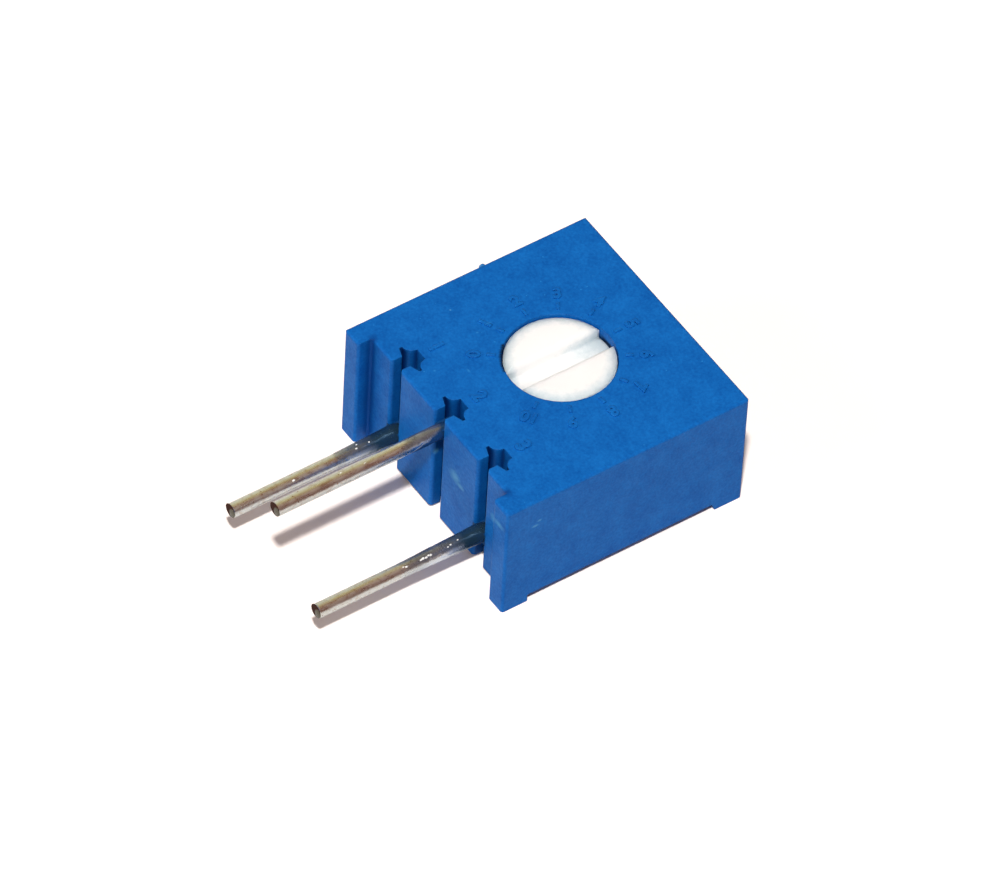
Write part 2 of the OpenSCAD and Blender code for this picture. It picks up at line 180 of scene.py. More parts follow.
def ramp(tree, stops):  # a colour ramp from (position, colour) pairs
    node = tree.nodes.new("ShaderNodeValToRGB")
    while len(node.color_ramp.elements) < len(stops):
        node.color_ramp.elements.new(0.5)
    for element, (position, color) in zip(node.color_ramp.elements, stops):
        element.position = position
        element.color = (*color, 1)
    return node


def mixShaders(tree, share, first, second):
    mix = addNode(tree, "MixShader")
    tree.links.new(share, mix.inputs[0])
    tree.links.new(first, mix.inputs[1])
    tree.links.new(second, mix.inputs[2])
    return mix.outputs[0]


def makeWorld(s):
    world = bpy.data.worlds.new("studio")
    bpy.context.scene.world = world
    world.use_nodes = True
    tree = world.node_tree
    tree.nodes.clear()
    out = addNode(tree, "OutputWorld")
    light = addNode(tree, "LightPath")
    place = addNode(tree, "TexCoord")
    side = addNode(tree, "VectorMath", operation="DOT_PRODUCT")
    side.inputs[1].default_value = s["paleSide"]
    span = addNode(tree, "MapRange", From_Min=-1.0, From_Max=1.0)
    room = ramp(tree, s["room"])  # brown on the right and pale on the left, for metal to reflect
    tree.links.new(place.outputs["Generated"], side.inputs[0])
    tree.links.new(side.outputs["Value"], span.inputs["Value"])
    tree.links.new(span.outputs["Result"], room.inputs[0])
    roomLight = addNode(tree, "Background", Strength=1.0)
    tree.links.new(room.outputs[0], roomLight.inputs["Color"])
    sky = addNode(tree, "Background", Color=(*s["skyColor"], 1), Strength=s["skyStrength"])
    white = addNode(tree, "Background", Color=(1, 1, 1, 1), Strength=1.0)
    around = mixShaders(tree, light.outputs["Is Glossy Ray"], sky.outputs[0], roomLight.outputs[0])
    seen = mixShaders(tree, light.outputs["Is Camera Ray"], around, white.outputs[0])
    tree.links.new(seen, out.inputs["Surface"])


def makeFloor(s):
    material = bpy.data.materials.new("floorPaper")
    material.use_nodes = True
    tree = material.node_tree
    tree.nodes.clear()
    out = addNode(tree, "OutputMaterial")
    paper = addNode(tree, "BsdfDiffuse", Color=(*s["paperBounce"], 1))
    shown = addNode(tree, "BsdfDiffuse", Color=(*s["paperColor"], 1))
    white = addNode(tree, "Emission")
    place = addNode(tree, "TexCoord")
    away = addNode(tree, "VectorMath", operation="LENGTH")
    fade = addNode(tree, "MapRange", From_Min=s["paperFade"][0], From_Max=s["paperFade"][1])
    light = addNode(tree, "LightPath")
    tree.links.new(place.outputs["Object"], away.inputs[0])
    tree.links.new(away.outputs["Value"], fade.inputs["Value"])
    seen = mixShaders(tree, fade.outputs["Result"], shown.outputs[0], white.outputs[0])
    either = mixShaders(tree, light.outputs["Is Camera Ray"], paper.outputs[0], seen)
    tree.links.new(either, out.inputs["Surface"])
    deselectAll()
    bpy.ops.mesh.primitive_plane_add(size=s["paperSize"], location=(0, 0, 0))
    floor = bpy.context.object
    floor.name = "floor"
    floor.data.materials.append(material)


makeLamps(studio)
makeWorld(studio)
makeFloor(studio)
bpy.context.scene.view_settings.view_transform = "Standard"

print("Materials")


def feed(tree, value, socket):  # a socket takes another's output, or a plain value
    if isinstance(value, bpy.types.NodeSocket):
        tree.links.new(value, socket)
    else:
        socket.default_value = value


def calculate(tree, operation, *terms):
    node = addNode(tree, "Math", operation=operation)
    for term, socket in zip(terms, node.inputs):
        feed(tree, term, socket)
    return node.outputs[0]


def spread(tree, value, **span):  # a value mapped from one span to another
    node = addNode(tree, "MapRange", **span)
    tree.links.new(value, node.inputs["Value"])
    return node.outputs["Result"]


def mixColors(tree, mask, under, over):  # a Mix node's colours are its sockets 6, 7 and 2
    node = addNode(tree, "Mix", data_type="RGBA")
    tree.links.new(mask, node.inputs[0])
    feed(tree, under, node.inputs[6])
    feed(tree, over, node.inputs[7])
    return node.outputs[2]


def mixValues(tree, share, first, second):  # and its numbers are sockets 2, 3 and 0
    node = addNode(tree, "Mix", data_type="FLOAT")
    tree.links.new(share, node.inputs[0])
    tree.links.new(first, node.inputs[2])
    tree.links.new(second, node.inputs[3])
    return node.outputs[0]


def noise(tree, place, **values):
    node = addNode(tree, "TexNoise", **values)
    tree.links.new(place, node.inputs["Vector"])
    return node


def distance(tree, place, centre, across):  # from an axis, along which across is 0
    away = addNode(tree, "VectorMath", operation="SUBTRACT")
    flat = addNode(tree, "VectorMath", operation="MULTIPLY")
    far = addNode(tree, "VectorMath", operation="LENGTH")
    tree.links.new(place, away.inputs[0])
    away.inputs[1].default_value = centre
    tree.links.new(away.outputs[0], flat.inputs[0])
    flat.inputs[1].default_value = across
    tree.links.new(flat.outputs[0], far.inputs[0])
    return far.outputs["Value"]


def newGroup(name, inputs, outputs):
    group = bpy.data.node_groups.new(name, "ShaderNodeTree")
    for label, kind, value in inputs:
        socket = group.interface.new_socket(label, in_out="INPUT", socket_type="NodeSocket" + kind)
        if value is not None:
            socket.default_value = value
    for label, kind in outputs:
        group.interface.new_socket(label, in_out="OUTPUT", socket_type="NodeSocket" + kind)
    return group, group.nodes.new("NodeGroupInput"), group.nodes.new("NodeGroupOutput")


def makeMottle():  # soft patches of two colours, with a mask of where they are
    group, start, end = newGroup("mottle", [
        ("Light", "Color", None), ("Dark", "Color", None), ("Patch Scale", "Float", 900.0),
        ("Fine Share", "Float", 0.5), ("Contrast", "Float", 0.5)],
        [("Color", "Color"), ("Mask", "Float")])
    place = addNode(group, "TexCoord").outputs["Object"]
    patches = noise(group, place, Detail=5.0, Roughness=0.6)
    flecks = noise(group, place, Detail=2.0, Roughness=0.5)
    flecksPerPatch = 9.0
    finer = calculate(group, "MULTIPLY", start.outputs["Patch Scale"], flecksPerPatch)
    group.links.new(start.outputs["Patch Scale"], patches.inputs["Scale"])
    group.links.new(finer, flecks.inputs["Scale"])
    blend = mixValues(group, start.outputs["Fine Share"], patches.outputs["Fac"],
                      flecks.outputs["Fac"])
    mask = spread(group, blend, From_Min=0.32, From_Max=0.68)
    amount = calculate(group, "MULTIPLY", mask, start.outputs["Contrast"])
    color = mixColors(group, amount, start.outputs["Light"], start.outputs["Dark"])
    group.links.new(color, end.inputs["Color"])
    group.links.new(mask, end.inputs["Mask"])
    return group


def makeGrain():  # height of a moulded or cast skin: fine grain over slow waves
    group, start, end = newGroup("grain", [
        ("Fine Scale", "Float", 22000.0), ("Wave Scale", "Float", 1500.0),
        ("Wave Share", "Float", 0.5)], [("Height", "Float")])
    place = addNode(group, "TexCoord").outputs["Object"]
    fine = noise(group, place, Detail=3.0, Roughness=0.7)
    wave = noise(group, place, Detail=2.0, Roughness=0.5)
    group.links.new(start.outputs["Fine Scale"], fine.inputs["Scale"])
    group.links.new(start.outputs["Wave Scale"], wave.inputs["Scale"])
    height = mixValues(group, start.outputs["Wave Share"], fine.outputs["Fac"], wave.outputs["Fac"])
    group.links.new(height, end.inputs["Height"])
    return group


def makeSpecks():  # a mask of small scattered spots
    group, start, end = newGroup("specks", [
        ("Spot Scale", "Float", 6000.0), ("Spot Size", "Float", 0.2), ("Share", "Float", 0.2)],
        [("Mask", "Float")])
    place = addNode(group, "TexCoord")
    cells = addNode(group, "TexVoronoi")
    split = addNode(group, "SeparateColor")
    group.links.new(place.outputs["Object"], cells.inputs["Vector"])
    group.links.new(start.outputs["Spot Scale"], cells.inputs["Scale"])
    group.links.new(cells.outputs["Color"], split.inputs[0])
    near = calculate(group, "LESS_THAN", cells.outputs["Distance"], start.outputs["Spot Size"])
    chosen = calculate(group, "LESS_THAN", split.outputs[0], start.outputs["Share"])
    group.links.new(calculate(group, "MULTIPLY", near, chosen), end.inputs["Mask"])
    return group


def makeSmudge():  # a ragged spot round a place, as a mask
    group, start, end = newGroup("raggedSpot", [
        ("Place", "Vector", None), ("Reach", "Vector", None)], [("Mask", "Float")])
    place = addNode(group, "TexCoord").outputs["Object"]
    away = addNode(group, "VectorMath", operation="SUBTRACT")
    share = addNode(group, "VectorMath", operation="DIVIDE")
    far = addNode(group, "VectorMath", operation="LENGTH")
    group.links.new(place, away.inputs[0])
    group.links.new(start.outputs["Place"], away.inputs[1])
    group.links.new(away.outputs[0], share.inputs[0])
    group.links.new(start.outputs["Reach"], share.inputs[1])
    group.links.new(share.outputs[0], far.inputs[0])
    ragged = noise(group, place, Scale=5000.0, Detail=4.0, Roughness=0.7)
    edge = calculate(group, "ADD", far.outputs["Value"], ragged.outputs["Fac"])
    group.links.new(spread(group, edge, From_Min=1.6, From_Max=0.7), end.inputs["Mask"])
    return group


def makeCrevice():  # a mask of painted shade in narrow and inner places, and normals that soften the outer edges
    group, start, end = newGroup("creviceShade", [
        ("Reach", "Float", 0.5 * mm), ("Edge Radius", "Float", 0.06 * mm)],
        [("Mask", "Float"), ("Normal", "Vector")])
    shade = addNode(group, "AmbientOcclusion", samples=6, only_local=True)
    edges = addNode(group, "Bevel", samples=4)
    group.links.new(start.outputs["Reach"], shade.inputs["Distance"])
    group.links.new(start.outputs["Edge Radius"], edges.inputs["Radius"])
    closed = spread(group, shade.outputs["AO"], From_Min=0.95, From_Max=0.42)
    group.links.new(closed, end.inputs["Mask"])
    group.links.new(edges.outputs["Normal"], end.inputs["Normal"])
    return group


mottle, grain, specks = makeMottle(), makeGrain(), makeSpecks()
raggedSpot, creviceShade = makeSmudge(), makeCrevice()


def groupNode(tree, group, **values):
    node = tree.nodes.new("ShaderNodeGroup")
    node.node_tree = group
    for key, value in values.items():
        node.inputs[key.replace("_", " ")].default_value = value
    return node


def newMaterial(name, **values):
    material = bpy.data.materials.new(name)
    material.use_nodes = True
    tree = material.node_tree
    shader = tree.nodes["Principled BSDF"]
    for key, value in values.items():
        shader.inputs[key.replace("_", " ")].default_value = value
    return material, tree, shader


def addBump(tree, shader, height, depth):
    bump = addNode(tree, "Bump", Strength=1.0, Distance=depth)
    tree.links.new(height, bump.inputs["Height"])
    tree.links.new(bump.outputs["Normal"], shader.inputs["Normal"])


def plainFinish(name, light, dark, patch, contrast, rough, bump, fine, wave=1500.0, share=0.5,
                **values):  # two mottled colours and a grainy skin; values go to the shader
    material, tree, shader = newMaterial(name, **values)
    colors = groupNode(tree, mottle, Light=(*light, 1), Dark=(*dark, 1), Patch_Scale=patch,
                       Contrast=contrast)
    skin = groupNode(tree, grain, Fine_Scale=fine, Wave_Scale=wave, Wave_Share=share)
    worn = spread(tree, colors.outputs["Mask"], To_Min=rough[0], To_Max=rough[1])
    tree.links.new(colors.outputs["Color"], shader.inputs["Base Color"])
    tree.links.new(worn, shader.inputs["Roughness"])
    addBump(tree, shader, skin.outputs["Height"], bump)
    return material


# Resin smears and scuffs, with painted shade in the inner corners and in the gap behind the
# rotor's head: a colour, its strength, and places in mm, each with x, y from the rotor's axis and
# z, and its reach
smearsAndShade = {
    "pale": ((0.1, 0.36, 0.6), 0.62, [
        ((1.05, -4.77, 2.82), (0.34, 0.3, 0.3)), ((1.36, -4.77, 2.66), (0.26, 0.3, 0.14)),
        ((3.4, -4.77, 2.95), (0.3, 0.3, 0.24)), ((4.32, -5.29, 3.97), (0.34, 0.3, 0.13)),
        ((4.765, -4.15, 3.64), (0.3, 0.15, 0.06)), ((4.765, -3.98, 3.82), (0.3, 0.1, 0.06)),
        ((-0.24, -4.63, 2.8), (0.15, 0.13, 0.17)), ((-3.65, -1.88, 4.83), (0.045, 0.045, 0.1)),
        ((-4.79, 0.13, 4.72), (0.12, 0.22, 0.16))]),
    "faint": ((0.03, 0.26, 0.64), 0.5, [
        ((-2.36, -1.68, 4.83), (0.05, 0.05, 0.1)), ((-1.7, -3.8, 4.83), (0.05, 0.05, 0.1)),
        ((-1.12, -2.86, 4.83), (0.12, 0.05, 0.1)), ((-2.49, -1.15, 4.83), (0.05, 0.16, 0.1))]),
    # painted shade, darker blue down the inner corners beside the stand-offs
    "cornerShade": ((0.0006, 0.045, 0.23), 0.85, [
        ((-3.93, -4.74, 2.4), (0.24, 0.22, 8.0)), ((3.93, -4.74, 2.4), (0.24, 0.22, 8.0))]),
    # painted shade: the gap round the rotor's head and the far wall of its hole, made near black
    "dark": ((0.001, 0.006, 0.02), 0.95, [
        ((0.0, 1.9, 4.36), (1.0, 0.3, 0.18))] + [
        ((1.93 * math.cos(math.radians(turn)), 1.93 * math.sin(math.radians(turn)), 4.8),
         (0.1, 0.1, 0.3)) for turn in range(222, 256, 3)]),
}
slotShade = {  # painted shade at the greyer ends of the rotor's slot
    "shade": ((0.56, 0.65, 0.69), 0.85, [
        ((-0.2, 1.8, 4.4), (1.2, 1.6, 0.42)), ((-0.3, -1.75, 4.6), (0.5, 0.35, 0.4))]),
}


def colored(material):  # a material's node tree, its shader, and what gives its colour so far
    tree = material.node_tree
    shader = tree.nodes["Principled BSDF"]
    return tree, shader, shader.inputs["Base Color"].links[0].from_socket


def addSmears(material, kinds):
    tree, shader, color = colored(material)
    for tint, strength, places in kinds.values():
        total = 0.0
        for (x, y, z), reach in places:
            spot = groupNode(tree, raggedSpot, Place=(x * mm, axisY + y * mm, z * mm),
                             Reach=[value * mm for value in reach])
            total = calculate(tree, "MAXIMUM", spot.outputs["Mask"], total)
        color = mixColors(tree, calculate(tree, "MULTIPLY", total, strength), color, (*tint, 1))
    tree.links.new(color, shader.inputs["Base Color"])


def addFlecks(material, tint, scale, size, share):  # small pale points over a whole finish
    tree, shader, color = colored(material)
    points = groupNode(tree, specks, Spot_Scale=scale, Spot_Size=size, Share=share)
    flecked = mixColors(tree, points.outputs["Mask"], color, (*tint, 1))
    tree.links.new(flecked, shader.inputs["Base Color"])


def addCrevices(material, tint, reach, edge):  # painted shade in the hollows, and softer edges
    tree, shader, color = colored(material)
    hollowShade = groupNode(tree, creviceShade, Reach=reach, Edge_Radius=edge)
    darkened = mixColors(tree, hollowShade.outputs["Mask"], color, (*tint, 1))
    tree.links.new(darkened, shader.inputs["Base Color"])
    tree.links.new(hollowShade.outputs["Normal"], tree.nodes["Bump"].inputs["Normal"])


rim = {  # painted shade on the rotor head's rim, greyer than its middle; distances from the axis
    "tint": (0.5, 0.62, 0.68),
    "inner": 1.42 * mm,
    "outer": 1.9 * mm,
    "wander": 0.2 * mm,
}


# painted shade: the head greys towards its rim
def addRim(material, r):
    tree, shader, color = colored(material)
    place = addNode(tree, "TexCoord").outputs["Object"]
    ragged = noise(tree, place, Scale=3500.0, Detail=4.0, Roughness=0.7)
    wander = spread(tree, ragged.outputs["Fac"], To_Min=-r["wander"], To_Max=r["wander"])
    far = distance(tree, place, (0, axisY, 0), across=(1, 1, 0))
    total = calculate(tree, "ADD", far, wander)
    share = spread(tree, total, From_Min=r["inner"], From_Max=r["outer"])
    tree.links.new(mixColors(tree, share, color, (*r["tint"], 1)), shader.inputs["Base Color"])


skins = {
    "housingPlastic": {
        "light": (0.006, 0.15, 0.52), "dark": (0.0015, 0.088, 0.37), "patch": 1300.0,
        "contrast": 1.0, "rough": (0.36, 0.48), "bump": 0.016 * mm, "fine": 9000.0,
        "wave": 2600.0, "share": 0.6, "IOR": 1.5, "Specular_IOR_Level": 0.1},
    "rotorPlastic": {
        "light": (0.97, 0.985, 1.0), "dark": (0.94, 0.96, 0.98), "patch": 1200.0,
        "contrast": 0.5, "rough": (0.4, 0.52), "bump": 0.008 * mm, "fine": 9000.0,
        "IOR": 1.5, "Specular_IOR_Level": 0.2, "Subsurface_Weight": 0.9,
        "Subsurface_Radius": (1.0, 1.0, 1.0), "Subsurface_Scale": 0.6 * mm},
    "pottingResin": {
        "light": (0.004, 0.06, 0.19), "dark": (0.002, 0.03, 0.1), "patch": 2500.0,
        "contrast": 1.0, "rough": (0.5, 0.65), "bump": 0.004 * mm, "fine": 5000.0,
        "wave": 2200.0, "share": 0.8, "IOR": 1.5, "Specular_IOR_Level": 0.15},
    "whiteCeramic": {
        "light": (0.84, 0.82, 0.77), "dark": (0.74, 0.72, 0.67), "patch": 1500.0,
        "contrast": 0.6, "rough": (0.55, 0.7), "bump": 0.01 * mm, "fine": 16000.0},
    "resistiveFilm": {
        "light": (0.035, 0.033, 0.035), "dark": (0.018, 0.018, 0.02), "patch": 3000.0,
        "contrast": 0.8, "rough": (0.25, 0.4), "bump": 0.004 * mm, "fine": 15000.0},
    "silverFilm": {
        "light": (0.72, 0.71, 0.68), "dark": (0.58, 0.56, 0.52), "patch": 2600.0,
        "contrast": 0.8, "rough": (0.38, 0.55), "bump": 0.005 * mm, "fine": 18000.0,
        "Metallic": 1.0},
    "springMetal": {
        "light": (0.83, 0.66, 0.4), "dark": (0.7, 0.5, 0.28), "patch": 2200.0,
        "contrast": 0.7, "rough": (0.18, 0.3), "bump": 0.002 * mm, "fine": 20000.0,
        "Metallic": 1.0},
    "sealRubber": {
        "light": (0.03, 0.03, 0.032), "dark": (0.018, 0.018, 0.02), "patch": 1800.0,
        "contrast": 0.8, "rough": (0.5, 0.7), "bump": 0.008 * mm, "fine": 14000.0},
    "solderMetal": {
        "light": (0.74, 0.74, 0.75), "dark": (0.56, 0.55, 0.56), "patch": 3200.0,
        "contrast": 0.8, "rough": (0.2, 0.42), "bump": 0.012 * mm, "fine": 7000.0,
        "Metallic": 1.0},
    # droplets on the pins, near white: their colour is a painted glint
    "beadPaintedGlint": {
        "light": (0.95, 0.95, 0.93), "dark": (0.8, 0.8, 0.78), "patch": 6000.0,
        "contrast": 0.5, "rough": (0.05, 0.15), "bump": 0.004 * mm, "fine": 20000.0,
        "IOR": 1.5},
}
finish = {name: plainFinish(name, **values) for name, values in skins.items()}
addFlecks(finish["housingPlastic"], tint=(0.02, 0.21, 0.57), scale=7000.0, size=0.15, share=0.025)
# painted shade, darker blue in the housing's slots, pockets and inner corners
addCrevices(finish["housingPlastic"], tint=(0.0005, 0.02, 0.13), reach=0.6 * mm, edge=0.07 * mm)
addSmears(finish["housingPlastic"], smearsAndShade)
addRim(finish["rotorPlastic"], rim)
addSmears(finish["rotorPlastic"], slotShade)

wire = {
    "tin": (0.83, 0.85, 0.83),
    "gold": (0.78, 0.75, 0.68),
    "stain": (0.52, 0.36, 0.26),
    "pits": (0.4, 0.26, 0.18),
    "drawn": (1.0, 0.2, 1.0),  # stretches the drawing marks along the wire
    "rough": (0.12, 0.46),
    "markDepth": 0.008 * mm,
    "cutDepth": 0.02 * mm,
    "shorn": (0.14, 0.125, 0.09),  # the smooth side of a cut end
    "torn": (0.05, 0.02, 0.015),  # and its rough side
    "shornPlace": (0.22 * mm, -0.05 * mm),  # x and z of the smooth side's middle, from the axis
    "shornReach": (0.23 * mm, 0.29 * mm),  # from there the cut turns rough between these
    "wet": (0.004, 0.045, 0.15),  # resin on the shank, between two depths behind the wall
    "wetDepth": (0.015 * mm, 1.2 * mm),
    "wetEdge": 0.03 * mm,  # it fades in over this length
}


def makeTinnedWire(pin, w):
    x, z = pinCentre(pin)
    material, tree, shader = newMaterial("wire_" + pin, Metallic=1.0, Specular_IOR_Level=0.12)
    link = tree.links.new
    place = addNode(tree, "TexCoord").outputs["Object"]
    split = addNode(tree, "SeparateXYZ")
    stretch = addNode(tree, "Mapping", Scale=w["drawn"])
    link(place, split.inputs[0])
    link(place, stretch.inputs["Vector"])
    marks = noise(tree, stretch.outputs["Vector"], Scale=9000.0, Detail=4.0, Roughness=0.65)

    tin = groupNode(tree, mottle, Light=(*w["tin"], 1), Dark=(*w["gold"], 1), Patch_Scale=2300.0,
                    Contrast=1.0)
    blotch = noise(tree, place, Scale=6500.0, Detail=3.0, Roughness=0.6)
    dull = spread(tree, blotch.outputs["Fac"], From_Min=0.52, From_Max=0.72, To_Max=0.55)
    spots = groupNode(tree, specks, Spot_Scale=9000.0, Spot_Size=0.24, Share=0.12)
    color = mixColors(tree, dull, tin.outputs["Color"], (*w["stain"], 1))
    color = mixColors(tree, spots.outputs["Mask"], color, (*w["pits"], 1))

    atEnd = calculate(tree, "LESS_THAN", split.outputs["Y"], pinTipY + w["cutDepth"])
    smoothX, smoothZ = w["shornPlace"]
    far = distance(tree, place, (x + smoothX, 0, z + smoothZ), across=(1, 0, 1))
    rough = spread(tree, far, From_Min=w["shornReach"][0], From_Max=w["shornReach"][1])
    torn = calculate(tree, "MULTIPLY", rough, atEnd)
    color = mixColors(tree, atEnd, color, (*w["shorn"], 1))
    color = mixColors(tree, torn, color, (*w["torn"], 1))

    wetFrom, wetTo = w["wetDepth"]
    soaked = spread(tree, split.outputs["Y"], From_Min=wallY + wetFrom - w["wetEdge"],
                    From_Max=wallY + wetFrom)
    beforeEnd = calculate(tree, "LESS_THAN", split.outputs["Y"], wallY + wetTo)
    inSlot = calculate(tree, "MULTIPLY", soaked, beforeEnd)
    link(mixColors(tree, inSlot, color, (*w["wet"], 1)), shader.inputs["Base Color"])

    covered = calculate(tree, "MAXIMUM", torn, inSlot)  # neither torn metal nor resin shines
    link(spread(tree, covered, To_Min=1.0, To_Max=0.0), shader.inputs["Metallic"])
    drawn = spread(tree, marks.outputs["Fac"], To_Min=w["rough"][0], To_Max=w["rough"][1])
    link(calculate(tree, "MAXIMUM", drawn, covered), shader.inputs["Roughness"])
    addBump(tree, shader, marks.outputs["Fac"], w["markDepth"])
    return material


tinnedWire = {pin: makeTinnedWire(pin, wire) for pin in pinNames}

nodeFinish = {
    "rotor": finish["rotorPlastic"], "seal_ring": finish["sealRubber"],
    "contact_spring": finish["springMetal"], "substrate": finish["whiteCeramic"],
    "resistive_track": finish["resistiveFilm"], "collector_track": finish["silverFilm"],
    "left_termination": finish["silverFilm"], "right_termination": finish["silverFilm"],
    **tinnedWire,
    "left_solder": finish["solderMetal"], "middle_solder": finish["solderMetal"],
    "right_solder": finish["solderMetal"], "back_seal": finish["pottingResin"],
    "housing": finish["housingPlastic"],
}
for name, material in nodeFinish.items():
    nodes[name].data.materials.clear()
    nodes[name].data.materials.append(material)

print("Raised figures")

dial = {
    "raise": 0.045 * mm,
    "sink": 0.02 * mm,
    "stroke": 0.022 * mm,  # added on each side of a figure's lines
    "soften": 0.014 * mm,
    "figures": 11,
    "sweep": 290,  # degrees
    "figureRadius": 2.82 * mm,
    "figureSize": 0.62 * mm,
    "tickInner": 2.12 * mm,
    "tickOuter": 2.42 * mm,
    "tickWidth": 0.12 * mm,
    "pinFigureSize": 0.74 * mm,
    "pinFigureY": -3.2 * mm,  # from the rotor's axis
}


def raisedFigure(d, body, size, x, y, turn):
    deselectAll()
    bpy.ops.object.text_add(location=(0, 0, 0))
    obj = bpy.context.object
    obj.data.body = body
    obj.data.size = size
    obj.data.align_x = "CENTER"
    obj.data.align_y = "CENTER"
    obj.data.offset = d["stroke"]
    obj.data.bevel_depth = d["soften"]
    obj.data.bevel_resolution = 1
    obj.data.extrude = (d["raise"] + d["sink"]) / 2 - d["soften"]
    obj.data.resolution_u = 4
    bpy.ops.object.convert(target="MESH")
    obj = bpy.context.object
    obj.location = (x, axisY + y, topZ + (d["raise"] - d["sink"]) / 2)
    obj.rotation_euler = (0, 0, turn)
    applyPlace(obj)
    return obj


def raisedTick(d, turn):
    deselectAll()
    middle = (d["tickInner"] + d["tickOuter"]) / 2
    bpy.ops.mesh.primitive_cube_add(size=1)
    obj = bpy.context.object
    obj.scale = (d["tickWidth"], d["tickOuter"] - d["tickInner"], d["raise"] + d["sink"])
    obj.location = (-math.sin(turn) * middle, axisY + math.cos(turn) * middle,
                    topZ + (d["raise"] - d["sink"]) / 2)
    obj.rotation_euler = (0, 0, turn)
    applyPlace(obj)
    applyModifier(obj, "BEVEL", width=d["soften"], segments=2)
    return obj


def makeDial(d):
    parts = []
    for k in range(d["figures"]):
        turn = math.radians(d["sweep"] * (0.5 - k / (d["figures"] - 1)))
        parts.append(raisedTick(d, turn))
        parts.append(raisedFigure(d, str(k), d["figureSize"], -math.sin(turn) * d["figureRadius"],
                                  math.cos(turn) * d["figureRadius"], turn))
    for number, name in enumerate(pinNames, 1):
        parts.append(raisedFigure(d, str(number), d["pinFigureSize"], pinCentre(name)[0],
                                  d["pinFigureY"], 0))
    finishPiece(joinAll(parts), "dialFigures", finish["housingPlastic"], "housing")


makeDial(dial)

print("Resin on the pins")

# Per pin, with lengths in mm: how far the resin reaches from the wall, and its radii on the way;
# a number that makes its path wander; the side on which it reaches further, and where it thins to
# nothing; and where its thick blue root thins, on which side the root is longer, and its colour
sleeves = {
    "left_pin": {"reach": 2.5, "seed": 1.7, "further": (0.3, 1.0, -0.3), "thin": (2.5, 1.75),
                 "root": (1.9, 0.76), "rootSide": (0, 1, 0), "rootTint": (0.026, 0.068, 0.11),
                 "swell": [0.342, 0.322, 0.312, 0.304, 0.298, 0.293, 0.289, 0.284, 0.277, 0.269,
                           0.262, 0.257, 0.253]},
    "middle_pin": {"reach": 2.3, "seed": 0.0, "further": (1.0, 1.0, -1.2), "thin": (1.75, 1.1),
                   "root": (1.15, 0.8), "rootSide": (0, 1, -3.6), "rootTint": (0.02, 0.085, 0.21),
                   "swell": [0.27, 0.268, 0.266, 0.264, 0.262, 0.26, 0.257, 0.255, 0.253]},
    "right_pin": {"reach": 3.4, "seed": 4.2, "further": (0.3, 1.0, -0.3), "thin": (3.4, 1.9),
                  "root": (1.6, 0.64), "rootSide": (0, 1, 0), "rootTint": (0.026, 0.068, 0.11),
                  "swell": [0.34, 0.322, 0.312, 0.305, 0.299, 0.294, 0.289, 0.284, 0.279, 0.273,
                            0.267, 0.262, 0.258, 0.255, 0.252]},
}
resin = {
    "inside": 0.5 * mm,  # it begins this far inside the slot, with this radius
    "within": 0.262 * mm,
    "mouth": 0.02 * mm,  # and swells from this far inside
    "around": 40,  # corners of a ring
    "wander": 0.01 * mm,  # how far a ring drifts aside
    "wanderRatio": 2.3,  # how much quicker it drifts up and down than sideways
    "lumps": 0.024 * mm,
    "lumpSize": 0.24 * mm,
    "lumpLevel": 0.4,  # the noise that leaves the surface where it is
    "skin": {"light": (0.34, 0.37, 0.42), "dark": (0.14, 0.14, 0.17), "patch": 2600.0,
             "contrast": 1.0, "rough": (0.1, 0.32), "bump": 0.02 * mm, "fine": 8000.0,
             "wave": 3500.0, "share": 0.6, "IOR": 1.5, "Specular_IOR_Level": 0.6},
    "ragged": 0.08 * mm,  # waver of the lines between its colours
    "endRagged": 3.0,  # how much more the root's and the resin's ends waver
    "bare": (0.82, 0.85, 0.87),  # metal that the resin leaves on the lower right
    "bareSide": (0.8, 0.0, -0.6),
    "bareEdge": (0.04 * mm, 0.14 * mm),
    "shine": (0.7, 0.6),  # how metallic it looks past the root, and at the root
}


def sleeveRadius(pin, out):  # mm from the wall
    s = sleeves[pin]
    k = out / s["reach"] * (len(s["swell"]) - 1)
    if k >= len(s["swell"]) - 1:
        return pinRadius
    low = int(k)
    return (s["swell"][low] * (1 - k + low) + s["swell"][low + 1] * (k - low)) * mm


def makeResin(pin, s, r):  # thin resin, which lets the metal's shine through
    x, z = pinCentre(pin)
    material = plainFinish("resin_" + pin, **r["skin"])
    tree, shader, color = colored(material)
    link = tree.links.new
    place = addNode(tree, "TexCoord").outputs["Object"]
    fromRoot = addNode(tree, "VectorMath", operation="SUBTRACT")
    fromRoot.inputs[1].default_value = (x, wallY, z)
    link(place, fromRoot.inputs[0])
    ragged = noise(tree, place, Scale=5500.0, Detail=3.0)
    wander = spread(tree, ragged.outputs["Fac"], To_Min=-r["ragged"], To_Max=r["ragged"])

    def along(side, wavy, start, stop):  # rises from 0 to 1 between two distances to a side
        reach = addNode(tree, "VectorMath", operation="DOT_PRODUCT")
        reach.inputs[1].default_value = side
        link(fromRoot.outputs[0], reach.inputs[0])
        wave = calculate(tree, "MULTIPLY_ADD", wander, wavy, reach.outputs["Value"])
        return spread(tree, wave, From_Min=start, From_Max=stop)

    root = along(s["rootSide"], r["endRagged"], -s["root"][0] * mm, -s["root"][1] * mm)
    cover = along(s["further"], r["endRagged"], -s["thin"][0] * mm, -s["thin"][1] * mm)
    bare = along(r["bareSide"], 1.0, *r["bareEdge"])
    pastRoot = spread(tree, root, To_Min=1.0, To_Max=0.0)
    bare = calculate(tree, "MULTIPLY", pastRoot, bare)
    shine = spread(tree, root, To_Min=r["shine"][0], To_Max=r["shine"][1])
    color = mixColors(tree, root, color, (*s["rootTint"], 1))
    link(mixColors(tree, bare, color, (*r["bare"], 1)), shader.inputs["Base Color"])
    link(calculate(tree, "MAXIMUM", shine, bare), shader.inputs["Metallic"])
    link(cover, shader.inputs["Alpha"])
    return material


